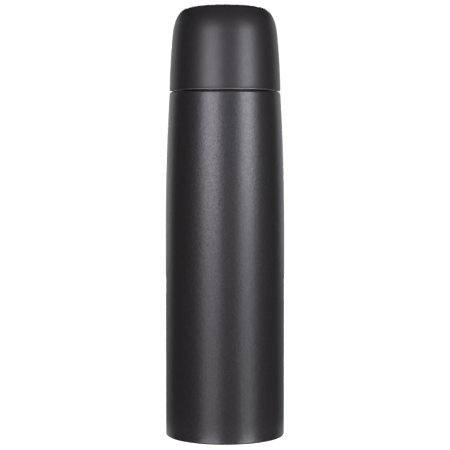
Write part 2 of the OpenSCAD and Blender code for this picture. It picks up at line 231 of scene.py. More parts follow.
def cup_skin(inset, z_from):
    """The cup's skin from height z_from to the axis, moved inwards by inset."""
    side_c = (CUP_R - CUP_SIDE_R * math.cos(CUP_DRAFT), LIP_Z - CUP_SIDE_R * math.sin(CUP_DRAFT))
    side_r = CUP_SIDE_R - inset
    start = math.asin((z_from - side_c[1]) / side_r)
    end = math.asin((CUP_CORNER_Z - side_c[1]) / side_r)
    crown_r = (CROWN_EDGE_R**2 + CROWN_RISE**2) / (2 * CROWN_RISE)
    crown_c = (0.0, FLASK_H - crown_r)
    crown_angle = math.asin(CROWN_EDGE_R / crown_r)
    crown_in = crown_r - inset
    pull = CORNER_SHRINK * inset
    p0 = (side_c[0] + side_r * math.cos(end), side_c[1] + side_r * math.sin(end))
    p3 = (crown_in * math.sin(crown_angle), crown_c[1] + crown_in * math.cos(crown_angle))
    up = CORNER_SIDE_PULL - pull
    along = CORNER_TOP_PULL - pull
    p1 = (p0[0] - up * math.sin(end), p0[1] + up * math.cos(end))
    p2 = (p3[0] + along * math.cos(crown_angle), p3[1] - along * math.sin(crown_angle))
    side = arc(side_c, side_r, start, end, 16)
    corner = curve(p0, p1, p2, p3)[1:]
    crown = arc(crown_c, crown_in, math.pi / 2 - crown_angle, math.pi / 2, 14)[1:-1]
    return side + corner + crown + [(0.0, crown_c[1] + crown_in)]


def soften(corners, steps=4):
    """A closed outline from (x, y, rounding) corners, with every corner rounded."""
    points = []
    for i, (x, y, rounding) in enumerate(corners):
        here = Vector((x, y))
        if rounding <= 0:
            points.append((x, y))
            continue
        back = Vector(corners[i - 1][:2]) - here
        ahead = Vector(corners[(i + 1) % len(corners)][:2]) - here
        half = back.angle(ahead) / 2
        setback = min(rounding / math.tan(half), 0.48 * back.length, 0.48 * ahead.length)
        radius = setback * math.tan(half)
        centre = here + (back.normalized() + ahead.normalized()).normalized() * radius / math.sin(half)
        first = here + back.normalized() * setback - centre
        last = here + ahead.normalized() * setback - centre
        start = math.atan2(first.y, first.x)
        turn = math.atan2(last.y, last.x) - start
        turn = (turn + math.pi) % (2 * math.pi) - math.pi
        points += arc(centre, radius, start, start + turn, steps)
    return points


# ---------------------------------------------------------------- meshes

SMOOTH_ANGLE = math.radians(38)
AROUND = 192
TINY = 1e-7


def finish_mesh(bm, name):
    """A scene object from a bmesh, smooth-shaded up to its hard edges."""
    bmesh.ops.remove_doubles(bm, verts=bm.verts, dist=TINY)
    bmesh.ops.recalc_face_normals(bm, faces=bm.faces)
    mesh = bpy.data.meshes.new(name)
    bm.to_mesh(mesh)
    bm.free()
    piece = bpy.data.objects.new(name, mesh)
    bpy.context.scene.collection.objects.link(piece)
    shade(piece)
    return piece


def shade(piece):
    """Smooth shading, with sharp edges where two faces meet at more than SMOOTH_ANGLE."""
    mesh = piece.data
    mesh.polygons.foreach_set("use_smooth", [True] * len(mesh.polygons))
    mesh.set_sharp_from_angle(angle=SMOOTH_ANGLE)
    mesh.update()


def lathe(name, outline, segments=AROUND, shape=None):
    """Turns a closed (r, z) outline about the axis. shape(angle, r, z) may change a point's radius."""
    bm = bmesh.new()
    rings = []
    for r, z in outline:
        if r < TINY:
            rings.append([bm.verts.new((0, 0, z))] * segments)
            continue
        ring = []
        for k in range(segments):
            a = 2 * math.pi * k / segments
            radius = shape(a, r, z) if shape else r
            ring.append(bm.verts.new((radius * math.cos(a), radius * math.sin(a), z)))
        rings.append(ring)
    for i in range(len(rings)):
        one, two = rings[i], rings[(i + 1) % len(rings)]
        for k in range(segments):
            n = (k + 1) % segments
            corners = []
            for v in (one[k], one[n], two[n], two[k]):
                if v not in corners:
                    corners.append(v)
            if len(corners) > 2:
                bm.faces.new(corners)
    return finish_mesh(bm, name)


def tube(name, sections):
    """A solid through a row of closed sections, with flat ends."""
    bm = bmesh.new()
    rings = [[bm.verts.new(p) for p in section] for section in sections]
    count = len(rings[0])
    for one, two in zip(rings, rings[1:]):
        for k in range(count):
            n = (k + 1) % count
            bm.faces.new((one[k], one[n], two[n], two[k]))
    bm.faces.new(list(reversed(rings[0])))
    bm.faces.new(rings[-1])
    return finish_mesh(bm, name)


def thread(name, wall_r, way, z_from, turns, steps=72):
    """A rounded thread ridge on a wall; way is 1 outwards and -1 inwards. Its root is sunk in the wall."""
    sink, tuck, rounding = 0.25 * MM, 0.1 * MM, 0.3 * MM
    fade_steps = 9
    count = math.ceil(turns * steps)
    sections = []
    for i in range(count + 1):
        a = 2 * math.pi * turns * i / count
        z = z_from + LEAD * a / (2 * math.pi)
        fade = min(1.0, i / fade_steps, (count - i) / fade_steps)
        fade = fade * fade * (3 - 2 * fade)
        crest = (THREAD_H + tuck) * fade - tuck
        outline = soften(
            [
                (-sink, -THREAD_ROOT_W / 2, 0),
                (crest, -THREAD_CREST_W / 2, rounding * fade),
                (crest, THREAD_CREST_W / 2, rounding * fade),
                (-sink, THREAD_ROOT_W / 2, 0),
            ],
            CREST_STEPS,
        )
        if fade == 0:
            outline = thread_end(crest, sink)
        ridge = [(wall_r + way * x, z + y) for x, y in outline]
        sections.append([(r * math.cos(a), r * math.sin(a), height) for r, height in ridge])
    return tube(name, sections)


def thread_end(crest, sink):
    """The ridge's first and last section, with as many points as the others."""
    half, root = THREAD_CREST_W / 2, THREAD_ROOT_W / 2
    points = CREST_STEPS + 1
    return [(-sink, -root)] + [(crest, -half)] * points + [(crest, half)] * points + [(-sink, root)]


def slab(name, outline, z_low, z_high):
    """A closed (x, y) outline extruded from z_low to z_high."""
    return tube(name, [[(x, y, z) for x, y in outline] for z in (z_low, z_high)])


def block(name, corner, opposite):
    """A box between two opposite corners."""
    (x0, y0, z0), (x1, y1, z1) = corner, opposite
    return slab(name, [(x0, y0), (x1, y0), (x1, y1), (x0, y1)], z0, z1)


def settle(piece):
    """Makes what the piece's modifiers do part of its mesh."""
    evaluated = piece.evaluated_get(bpy.context.evaluated_depsgraph_get())
    mesh = bpy.data.meshes.new_from_object(evaluated)
    piece.modifiers.clear()
    piece.data = mesh
    shade(piece)
    return piece


def combine(piece, others, operation):
    """Adds the others to the piece, or cuts them from it, and removes them."""
    for other in others:
        step = piece.modifiers.new("combine", "BOOLEAN")
        step.operation = operation
        step.solver = "EXACT"
        step.object = other
        settle(piece)
        bpy.data.objects.remove(other)
    return piece


def fuse(piece, *others):
    return combine(piece, others, "UNION")


def cut(piece, *others):
    return combine(piece, others, "DIFFERENCE")


def round_edges(piece, width, segments=2):
    """Rounds every sharp edge of a piece."""
    bevel = piece.modifiers.new("round", "BEVEL")
    bevel.width = width
    bevel.segments = segments
    bevel.limit_method = "ANGLE"
    bevel.angle_limit = SMOOTH_ANGLE
    bevel.use_clamp_overlap = True
    return settle(piece)


def turned(piece, angle):
    """Turns a piece's mesh about the axis."""
    c, s = math.cos(angle), math.sin(angle)
    for v in piece.data.vertices:
        x, y = v.co.x, v.co.y
        v.co.x, v.co.y = c * x - s * y, s * x + c * y
    return piece


def mirrored(piece):
    """Mirrors a piece's mesh from +X to -X."""
    for v in piece.data.vertices:
        v.co.x = -v.co.x
    piece.data.flip_normals()
    shade(piece)
    return piece


def coil(name, mean_r, wire_r, length, turns, closed_turns=1.0, steps=36, sides=14):
    """A coil spring standing on z = 0, with close-wound end turns."""
    count = int(turns * steps)
    closed = closed_turns * steps
    flat_pitch = 2.05 * wire_r
    open_turns = turns - 2 * closed_turns
    open_pitch = (length - 2 * wire_r - 2 * closed_turns * flat_pitch) / open_turns
    sections = []
    z = wire_r
    for i in range(count + 1):
        a = 2 * math.pi * i / steps
        sections.append(
            [
                (
                    (mean_r + wire_r * math.cos(b)) * math.cos(a),
                    (mean_r + wire_r * math.cos(b)) * math.sin(a),
                    z + wire_r * math.sin(b),
                )
                for b in (2 * math.pi * k / sides for k in range(sides))
            ]
        )
        end = min(i, count - i)
        ease = min(1.0, max(0.0, (end - closed + steps / 4) / (steps / 2)))
        z += (flat_pitch + (open_pitch - flat_pitch) * ease) / steps
    stretch = (length - 2 * wire_r) / (z - flat_pitch / steps - wire_r)
    for section in sections:
        middle = sum(p[2] for p in section) / sides
        lift = wire_r + (middle - wire_r) * stretch - middle
        for k, p in enumerate(section):
            section[k] = (p[0], p[1], p[2] + lift)
    return tube(name, sections)


# ---------------------------------------------------------------- materials


class Look:
    """A node material built round one Principled shader, in the piece's own coordinates."""

    def __init__(self, name):
        self.material = bpy.data.materials.new(name)
        self.material.use_nodes = True
        self.tree = self.material.node_tree
        self.shader = self.tree.nodes["Principled BSDF"]
        self.place = self.node("ShaderNodeTexCoord").outputs["Object"]
        self.bump = None

    def node(self, kind, **settings):
        made = self.tree.nodes.new(kind)
        for key, value in settings.items():
            setattr(made, key, value)
        return made

    def link(self, source, target):
        self.tree.links.new(source, target)

    def set(self, **sockets):
        for key, value in sockets.items():
            self.shader.inputs[key.replace("_", " ")].default_value = value

    def stretched(self, scale, place=None):
        mapping = self.node("ShaderNodeMapping")
        mapping.inputs["Scale"].default_value = scale
        self.link(place or self.place, mapping.inputs["Vector"])
        return mapping.outputs["Vector"]

    def turned_place(self):
        """Radius and height in place of x, y and z, so that a pattern runs round the axis."""
        flat = self.node("ShaderNodeVectorMath", operation="MULTIPLY")
        flat.inputs[1].default_value = (1, 1, 0)
        self.link(self.place, flat.inputs[0])
        radius = self.node("ShaderNodeVectorMath", operation="LENGTH")
        self.link(flat.outputs["Vector"], radius.inputs[0])
        split = self.node("ShaderNodeSeparateXYZ")
        self.link(self.place, split.inputs[0])
        joined = self.node("ShaderNodeCombineXYZ")
        self.link(radius.outputs["Value"], joined.inputs["X"])
        self.link(split.outputs["Z"], joined.inputs["Z"])
        return joined.outputs["Vector"]

    def noise(self, scale, detail=2.0, rough=0.5, place=None):
        made = self.node("ShaderNodeTexNoise")
        made.inputs["Scale"].default_value = scale
        made.inputs["Detail"].default_value = detail
        made.inputs["Roughness"].default_value = rough
        self.link(place or self.place, made.inputs["Vector"])
        return made.outputs["Fac"]

    def cells(self, scale):
        made = self.node("ShaderNodeTexVoronoi", feature="SMOOTH_F1")
        made.inputs["Scale"].default_value = scale
        made.inputs["Smoothness"].default_value = 0.7
        self.link(self.place, made.inputs["Vector"])
        return made.outputs["Distance"]

    def spread(self, value, low_end, high_end, from_low=0.3, from_high=0.7):
        """Maps a pattern's middle range to low_end..high_end."""
        made = self.node("ShaderNodeMapRange")
        made.inputs["From Min"].default_value = from_low
        made.inputs["From Max"].default_value = from_high
        made.inputs["To Min"].default_value = low_end
        made.inputs["To Max"].default_value = high_end
        self.link(value, made.inputs["Value"])
        return made.outputs["Result"]

    def colours(self, value, *stops):
        """Base colour from a pattern, through (position, colour) stops."""
        ramp = self.node("ShaderNodeValToRGB")
        while len(ramp.color_ramp.elements) < len(stops):
            ramp.color_ramp.elements.new(1.0)
        for element, (position, colour) in zip(ramp.color_ramp.elements, stops):
            element.position = position
            element.color = (*colour, 1)
        self.link(value, ramp.inputs["Fac"])
        self.link(ramp.outputs["Color"], self.shader.inputs["Base Color"])

    def roughness(self, value, low_end, high_end):
        self.link(self.spread(value, low_end, high_end), self.shader.inputs["Roughness"])

    def glint(self, value, low_end, high_end):
        """Lets the strength of the surface reflection follow a pattern."""
        self.link(self.spread(value, low_end, high_end), self.shader.inputs["Specular IOR Level"])

    def raise_by(self, value, depth, strength=1.0):
        """Adds a pattern to the bump, with the given depth in metres."""
        made = self.node("ShaderNodeBump")
        made.inputs["Strength"].default_value = strength
        made.inputs["Distance"].default_value = depth
        self.link(value, made.inputs["Height"])
        if self.bump:
            self.link(self.bump, made.inputs["Normal"])
        self.bump = made.outputs["Normal"]
        self.link(self.bump, self.shader.inputs["Normal"])


def powder_coat(name, grain, depth, rough, glitter, tint):
    """Charcoal powder coat: a fine grain over slight orange peel. grain is its size in metres."""
    look = Look(name)
    fine = look.noise(1 / grain, 3, 0.6)
    look.colours(fine, (0.35, (0.0155, 0.0130, 0.0128)), (0.68, (0.0220, 0.0190, 0.0192)))
    look.roughness(look.noise(0.8 / grain, 3, 0.7), *rough)
    look.glint(look.noise(1.1 / grain, 1, 0.5), 0.5 - glitter, 0.5 + glitter)
    look.raise_by(look.cells(0.45 / grain), depth * 1.5, 0.5)
    look.raise_by(fine, depth, 0.8)
    look.set(IOR=1.5, Specular_Tint=(*tint, 1))
    return look.material


def turned_steel(name, colour=(0.60, 0.585, 0.57), rough=(0.22, 0.36), lines=3500):
    """Stainless steel with fine lines that run round the axis."""
    look = Look(name)
    round_axis = look.stretched((lines, lines, lines), look.turned_place())
    scratches = look.noise(1.0, 4, 0.65, round_axis)
    bright = tuple(min(1.0, c * 1.12) for c in colour)
    dull = tuple(c * 0.86 for c in colour)
    look.colours(scratches, (0.3, dull), (0.7, bright))
    look.roughness(look.noise(1.0, 3, 0.6, look.stretched((60, 60, 900))), *rough)
    look.raise_by(scratches, 0.004 * MM, 0.5)
    look.set(Metallic=1.0)
    return look.material


def moulded_plastic(name, dark, light, rough, grain=0.35 * MM):
    """Injection-moulded polypropylene with a fine spark-eroded texture."""
    look = Look(name)
    texture = look.noise(1 / grain, 2, 0.5)
    look.colours(look.noise(160, 3, 0.6), (0.3, dark), (0.7, light))
    look.roughness(texture, rough - 0.06, rough + 0.08)
    look.raise_by(texture, 0.02 * MM, 0.6)
    look.set(IOR=1.49)
    return look.material


def silicone_rubber():
    look = Look("silicone")
    cloud = look.noise(220, 3, 0.5)
    look.colours(cloud, (0.3, (0.52, 0.51, 0.48)), (0.7, (0.66, 0.65, 0.62)))
    look.roughness(look.noise(900, 2, 0.5), 0.46, 0.6)
    look.raise_by(look.noise(2600, 2, 0.5), 0.008 * MM, 0.5)
    look.set(IOR=1.41, Subsurface_Weight=0.15, Subsurface_Scale=0.001)
    return look.material


def spring_wire():
    look = Look("spring_wire")
    drawn = look.noise(1400, 3, 0.6)
    look.colours(drawn, (0.3, (0.46, 0.46, 0.46)), (0.7, (0.66, 0.66, 0.65)))
    look.roughness(drawn, 0.2, 0.32)
    look.set(Metallic=1.0)
    return look.material


def copper_foil_look():
    look = Look("copper_foil")
    crease = look.noise(180, 4, 0.6)
    look.colours(crease, (0.3, (0.62, 0.30, 0.18)), (0.7, (0.80, 0.44, 0.29)))
    look.roughness(look.noise(600, 2, 0.5), 0.18, 0.3)
    look.raise_by(crease, 0.15 * MM, 0.6)
    look.set(Metallic=1.0)
    return look.material


def sintered_metal():
    look = Look("sintered_metal")
    grit = look.noise(3200, 3, 0.7)
    look.colours(grit, (0.3, (0.24, 0.24, 0.25)), (0.7, (0.40, 0.40, 0.42)))
    look.roughness(grit, 0.55, 0.7)
    look.raise_by(grit, 0.03 * MM, 0.7)
    look.set(Metallic=0.8)
    return look.material


def solder_glass():
    look = Look("solder_glass")
    swirl = look.noise(500, 3, 0.6)
    look.colours(swirl, (0.3, (0.16, 0.20, 0.18)), (0.7, (0.30, 0.35, 0.33)))
    look.roughness(swirl, 0.08, 0.16)
    look.raise_by(swirl, 0.05 * MM, 0.4)
    look.set(IOR=1.6)
    return look.material


COAT_BODY = powder_coat("powder_coat_body", 1.2 * MM, 0.035 * MM, (0.31, 0.39), 0.09, (1.0, 0.98, 1.0))
COAT_CUP = powder_coat("powder_coat_cup", 1.1 * MM, 0.03 * MM, (0.37, 0.45), 0.03, (0.90, 0.875, 0.90))
STEEL = turned_steel("turned_steel")
EDGE_STEEL = turned_steel("satin_edge", (0.27, 0.258, 0.245), (0.5, 0.62), 2500)
LINER_STEEL = turned_steel("electropolished_steel", (0.64, 0.625, 0.61), (0.14, 0.24), 1800)
BLACK_PLASTIC = moulded_plastic("black_plastic", (0.011, 0.011, 0.0115), (0.016, 0.016, 0.0165), 0.42)
GREY_PLASTIC = moulded_plastic("grey_plastic", (0.085, 0.086, 0.09), (0.105, 0.106, 0.11), 0.4)
SILICONE = silicone_rubber()
WIRE = spring_wire()
COPPER = copper_foil_look()
SINTERED = sintered_metal()
GLASS = solder_glass()


def dress(piece, cad_node, body, slot_name, *materials):
    """Gives a piece its materials and its body, and lets it stand for its CAD node."""
    piece.data.materials.clear()
    for material in materials:
        piece.data.materials.append(material)
    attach(piece, body)
    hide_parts(cad_node)
    return piece


def paint_where(piece, index, test):
    """Gives the faces whose middle passes test(r, z, normal) the piece's material with that index."""
    for face in piece.data.polygons:
        middle = face.center
        if test(math.hypot(middle.x, middle.y), middle.z, face.normal):
            face.material_index = index


# ---------------------------------------------------------------- bottle


def make_outer_shell():
    neck = [(NECK_R + 1.2 * MM, LEDGE_Z), (NECK_R, LEDGE_Z + 1.2 * MM), (NECK_R, NECK_TOP)]
    neck_in = [
        (NECK_R + 0.8 * MM, LEDGE_Z - SHEET), (NECK_R - SHEET, LEDGE_Z + 0.7 * MM),
        (NECK_R - SHEET, NECK_TOP),
    ]
    outline = bottle_skin(0) + neck + list(reversed(bottle_skin(SHEET) + neck_in))
    piece = lathe("outer_shell_skin", outline)
    dress(piece, "outer_shell", "bottle", "powder_coat", COAT_BODY, STEEL)
    coat_edge_r = NECK_R + 2 * MM
    paint_where(piece, 1, lambda r, z, n: r < coat_edge_r or inside_shell(r, z, n))


def inside_shell(r, z, normal):
    """Whether a face looks into the vacuum space or the recess of the foot."""
    in_recess = z < FOOT_FLANGE_H / 2 and normal.z > 0.3
    return r < RECESS_R + 0.4 * MM or in_recess


def make_base_plate():
    z = low("base_plate")
    step = 0.8 * MM
    bead = 0.3 * MM
    lower = [
        (0.0, z + step), (7 * MM, z + step), (8 * MM, z + step - bead), (9 * MM, z + step),
        (17.6 * MM, z + step), (18.4 * MM, z + step - 0.15 * MM), (19.2 * MM, z + 0.1 * MM),
        (20 * MM, z), (30 * MM, z), (31 * MM, z + bead), (32 * MM, z), (RECESS_R, z),
    ]
    upper = [(r, height + SHEET) for r, height in reversed(lower)]
    piece = lathe("base_plate_sheet", lower + upper)
    dress(piece, "base_plate", "bottle", "stainless", STEEL)


def make_vacuum_base():
    z = low("vacuum_base")
    rim_r = reach("vacuum_base")
    hole, dimple, rise, slope = 1.5 * MM, 5 * MM, 1.8 * MM, 1.5 * MM
    outline = soften(
        [
            (hole, z + rise, 0), (dimple, z + rise, 0.5 * MM), (dimple + slope, z, 0.5 * MM),
            (rim_r, z, 0.9 * MM), (rim_r, top("vacuum_base"), 0), (rim_r - SHEET, top("vacuum_base"), 0),
            (rim_r - SHEET, z + SHEET, 0.4 * MM), (dimple + slope + 0.3 * MM, z + SHEET, 0.4 * MM),
            (dimple + 0.3 * MM, z + rise + SHEET, 0.4 * MM), (hole, z + rise + SHEET, 0),
        ]
    )
    dress(lathe("vacuum_closure", outline, 128), "vacuum_base", "bottle", "stainless", STEEL)


def make_seal_bead():
    z, high = low("seal_bead"), top("seal_bead")
    edge = reach("seal_bead")
    plug = 1.45 * MM
    neck = high - 0.7 * MM
    outline = [
        (0.0, z), (0.45 * edge, z + 0.05 * MM), (0.75 * edge, z + 0.3 * MM), (0.93 * edge, z + 0.75 * MM),
        (edge, neck - 0.1 * MM), (edge - 0.2 * MM, neck), (plug, neck), (plug, high - 0.2 * MM),
        (0.8 * plug, high), (0.0, high),
    ]
    dress(lathe("glass_seal_bead", outline, 64), "seal_bead", "bottle", "solder_glass", GLASS)


def make_getter():
    lowest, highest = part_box("getter")
    middle = (lowest + highest) / 2
    radius = (highest.y - lowest.y) / 2
    z, high = lowest.z, highest.z
    edge, hollow = 0.3 * MM, 0.4 * MM
    outline = [(0.0, z)] + arc((radius - edge, z + edge), edge, 1.5 * math.pi, 2 * math.pi, 4)
    outline += arc((radius - edge, high - edge), edge, 0, math.pi / 2, 4)
    outline += [(0.7 * radius, high), (0.6 * radius, high - hollow), (0.0, high - hollow)]
    piece = lathe("getter_pill", outline, 64)
    for v in piece.data.vertices:
        v.co.x += middle.x
        v.co.y += middle.y
    dress(piece, "getter", "bottle", "getter_metal", SINTERED)


def make_inner_liner():
    lip = MOUTH_Z - NECK_TOP
    roll = 1 * MM
    neck_out = MOUTH_R + SHEET
    rim = arc((NECK_R - lip / 2, NECK_TOP + lip / 2), lip / 2, 0, math.pi / 2, 4)
    mouth = arc((MOUTH_R + roll, MOUTH_Z - roll), roll, math.pi / 2, math.pi, 8)
    under = [(neck_out, MOUTH_Z - roll), (neck_out + 0.15 * MM, NECK_TOP - 0.1 * MM)]
    under += [(neck_out + 0.6 * MM, NECK_TOP), (NECK_R - 0.1 * MM, NECK_TOP)]
    outline = liner_skin(0) + under + rim + mouth + list(reversed(liner_skin(SHEET)))
    piece = lathe("inner_bottle", outline)
    fuse(piece, thread("stopper_thread_inside", MOUTH_R, -1, STOPPER_THREAD_Z + LEAD / 2, STOPPER_TURNS))
    dress(piece, "inner_liner", "bottle", "stainless", LINER_STEEL)


def make_liner_base():
    outline = dome_skin(0) + list(reversed(dome_skin(SHEET)))
    dress(lathe("inner_bottle_base", outline), "liner_base", "bottle", "stainless", LINER_STEEL)


def make_copper_foil():
    inner, outer = LINER_R + 0.2 * MM, reach("copper_foil")
    z, high = low("copper_foil"), top("copper_foil")
    rows = 40
    heights = [z + (high - z) * i / rows for i in range(rows + 1)]
    outline = [(outer, h) for h in heights] + [(inner, h) for h in reversed(heights)]
    crease = 0.04 * MM

    def creased(angle, r, h):
        wave = math.sin(23 * angle + 140 * h) * math.sin(9 * angle - 310 * h)
        return r - crease * (1 + wave) if r > inner + 0.05 * MM else r

    piece = lathe("radiation_foil", outline, shape=creased)
    dress(piece, "copper_foil", "bottle", "copper", COPPER)


def make_neck_collar():
    z, high = low("neck_collar"), top("neck_collar")
    bore = NECK_R + 0.05 * MM
    outline = soften(
        [
            (bore, z, 0.2 * MM), (COLLAR_R, z, 0.3 * MM), (COLLAR_R, high, 0.8 * MM),
            (bore + 1.2 * MM, high, 0.3 * MM), (bore, high - 1.0 * MM, 0.3 * MM),
        ],
        5,
    )
    piece = lathe("neck_collar_ring", outline)
    fuse(piece, thread("collar_thread", COLLAR_R, 1, COLLAR_THREAD_Z, CUP_TURNS))
    dress(piece, "neck_collar", "bottle", "black_plastic", BLACK_PLASTIC)


# ---------------------------------------------------------------- stopper


def make_neck_gasket():
    z, high = low("neck_gasket"), top("neck_gasket")
    inner, outer = PLUG_R + 0.2 * MM, reach("neck_gasket")
    middle = (z + high) / 2
    outline = soften(
        [
            (inner, z, 0.3 * MM), (outer - 0.5 * MM, z, 0.3 * MM), (outer, middle, 0.3 * MM),
            (outer - 0.5 * MM, high, 0.3 * MM), (inner, high, 0.3 * MM),
        ]
    )
    dress(lathe("mouth_gasket", outline), "neck_gasket", "sealing_ring", "silicone", SILICONE)


def make_stopper_body():
    bore = PLUG_R - PLUG_WALL
    floor = PLUG_Z + PLUG_FLOOR
    outline = soften(
        [
            (SEAT_R, PLUG_Z, 0.4 * MM), (PLUG_R, PLUG_Z, 1.0 * MM), (PLUG_R, FLANGE_Z, 0.15 * MM),
            (FLANGE_R, FLANGE_Z, 0.5 * MM), (FLANGE_R, DECK_Z, 0.4 * MM), (bore, DECK_Z, 0.2 * MM),
            (bore, floor, 1.0 * MM), (SEAT_R, floor, 0.3 * MM),
        ],
        5,
    )
    piece = lathe("stopper_plug", outline)
    well_out = WELL_R + WELL_WALL
    hub_r, hub_h, pocket_r, pocket_h = 6 * MM, 4 * MM, 4.8 * MM, 2.5 * MM
    stem_bore = STEM_R + 0.1 * MM
    hub_z = WELL_Z - hub_h
    well = soften(
        [
            (pocket_r, hub_z, 0.1 * MM), (hub_r, hub_z, 0.4 * MM), (hub_r, WELL_Z, 0.3 * MM),
            (well_out, WELL_Z, 0.5 * MM), (well_out, DECK_Z, 0.2 * MM), (WELL_R, DECK_Z, 0.3 * MM),
            (WELL_R, WELL_Z + WELL_FLOOR, 0.3 * MM), (stem_bore, WELL_Z + WELL_FLOOR, 0.2 * MM),
            (stem_bore, hub_z + pocket_h, 0), (pocket_r, hub_z + pocket_h, 0),
        ]
    )
    parts = [lathe("well", well, 128)]
    rib_half = 1 * MM
    rib_z = PLUG_Z + 18 * MM
    for quarter in range(4):
        rib = block(
            "rib", (well_out - 0.7 * MM, -rib_half, rib_z), (bore + 0.6 * MM, rib_half, DECK_Z - 0.05 * MM)
        )
        parts.append(turned(rib, quarter * math.pi / 2))
    post_half = 1.6 * MM
    post_foot, post_head = DECK_Z - 1.5 * MM, DECK_Z + 4 * MM
    for angle in (0, math.pi):
        post = block("post", (POST_X[0], -post_half, post_foot), (POST_X[1], post_half, post_head))
        parts.append(turned(round_edges(post, 0.25 * MM), angle))
    parts.append(thread("stopper_thread", PLUG_R, 1, STOPPER_THREAD_Z, STOPPER_TURNS))
    fuse(piece, *parts)
    dress(piece, "stopper_body", "stopper", "black_plastic", BLACK_PLASTIC)


def slot_cutter(name, r_in, r_out, middle, half_angle, z_low, z_high):
    """A curved slot with round ends, as a solid to cut with."""
    mean, half = (r_in + r_out) / 2, (r_out - r_in) / 2
    reach_angle = half_angle - half / mean
    outline = []
    for a in (middle - reach_angle + 2 * reach_angle * i / 16 for i in range(17)):
        outline.append((r_out * math.cos(a), r_out * math.sin(a)))
    end = middle + reach_angle
    outline += arc((mean * math.cos(end), mean * math.sin(end)), half, end, end + math.pi, 12)[1:-1]
    for a in (end - 2 * reach_angle * i / 16 for i in range(17)):
        outline.append((r_in * math.cos(a), r_in * math.sin(a)))
    start = middle - reach_angle
    centre = (mean * math.cos(start), mean * math.sin(start))
    outline += arc(centre, half, start + math.pi, start + 2 * math.pi, 12)[1:-1]
    return slab(name, outline, z_low, z_high)


def make_stopper_cover():
    hole_r = BUTTON_R + 0.4 * MM
    inner = COVER_R - COVER_WALL
    roof = COVER_TOP - COVER_WALL
    ribs, rib_h = 48, 0.55 * MM
    window_half = 7.4 * MM
    clear = math.asin(window_half / COVER_R) + math.radians(3)
    wall_foot, wall_head = DECK_Z + 0.3 * MM, COVER_TOP - 1.6 * MM

    def ribbed(angle, r, z):
        if r < COVER_R - 0.05 * MM or abs(math.sin(angle)) < math.sin(clear):
            return r
        fade = min(1.0, max(0.0, (z - wall_foot) / (0.5 * MM)), max(0.0, (wall_head - z) / (0.9 * MM)))
        wave = max(0.0, math.cos(ribs * angle + math.pi)) ** 0.7
        return r + rib_h * max(0.0, fade) * wave

    side = [(COVER_R, wall_foot + (wall_head - wall_foot) * i / 8) for i in range(9)]
    lid = arc((COVER_R - 1.3 * MM, COVER_TOP - 1.3 * MM), 1.3 * MM, 0, math.pi / 2, 7)
    rim = arc((hole_r + 0.5 * MM, COVER_TOP - 0.5 * MM), 0.5 * MM, math.pi / 2, math.pi, 4)
    outline = [(inner, DECK_Z), (COVER_R - 0.3 * MM, DECK_Z)] + side + lid
    outline += [(hole_r + 1.6 * MM, COVER_TOP), (hole_r + 1.3 * MM, COVER_TOP - 0.25 * MM)]
    outline += [(hole_r + 0.9 * MM, COVER_TOP - 0.25 * MM), (hole_r + 0.7 * MM, COVER_TOP)] + rim
    outline += [(hole_r, roof), (inner - 0.6 * MM, roof), (inner, roof - 0.6 * MM)]
    piece = lathe("stopper_cap", outline, ribs * 12, ribbed)
    cutters = []
    slot_in, slot_out, slot_half = 15.2 * MM, 21.3 * MM, math.radians(21)
    for quarter in range(4):
        middle = math.pi / 4 + quarter * math.pi / 2
        cutters.append(slot_cutter("slot", slot_in, slot_out, middle, slot_half, DECK_Z, COVER_TOP + 2 * MM))
    window_top = TAB_TOP + 0.4 * MM
    for side_sign in (-1, 1):
        x0, x1 = sorted((side_sign * 22 * MM, side_sign * 32 * MM))
        cutters.append(block("window", (x0, -window_half, DECK_Z - 2 * MM), (x1, window_half, window_top)))
    cut(piece, *cutters)
    dress(piece, "stopper_cover", "stopper", "black_plastic", BLACK_PLASTIC)


def make_stem_seal():
    z, high = low("stem_seal"), top("stem_seal")
    inner, outer = STEM_R + 0.05 * MM, reach("stem_seal")
    groove = 0.35 * MM
    middle = (z + high) / 2
    outline = soften(
        [
            (inner, z, 0.3 * MM), (outer, z, 0.3 * MM), (outer - groove, middle, 0.4 * MM),
            (outer, high, 0.3 * MM), (inner, high, 0.3 * MM), (inner + groove, middle, 0.4 * MM),
        ]
    )
    dress(lathe("stem_seal_ring", outline, 64), "stem_seal", "stopper", "silicone", SILICONE)


def make_button_spring():
    z = low("button_spring")
    length = top("button_spring") - z
    piece = coil("button_coil", 4.3 * MM, 0.45 * MM, length, turns=7, closed_turns=1.2)
    for v in piece.data.vertices:
        v.co.z += z
    dress(piece, "button_spring", "stopper", "spring_steel", WIRE)
    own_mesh(piece)


def make_tab_spring(side, sign):
    node = f"tab_spring_{side}"
    lowest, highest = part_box(node)
    length = highest.x - lowest.x
    z = (lowest.z + highest.z) / 2
    mean_r, wire_r = 1.3 * MM, 0.25 * MM
    piece = coil(f"tab_coil_{side}", mean_r, wire_r, length, turns=6, closed_turns=0.8, steps=28, sides=10)
    near = POST_X[1] + 0.02 * MM
    for v in piece.data.vertices:
        v.co.x, v.co.z = sign * (near + v.co.z), z + v.co.x
    if sign > 0:
        piece.data.flip_normals()
        shade(piece)
    dress(piece, node, "stopper", "spring_steel", WIRE)
    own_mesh(piece)


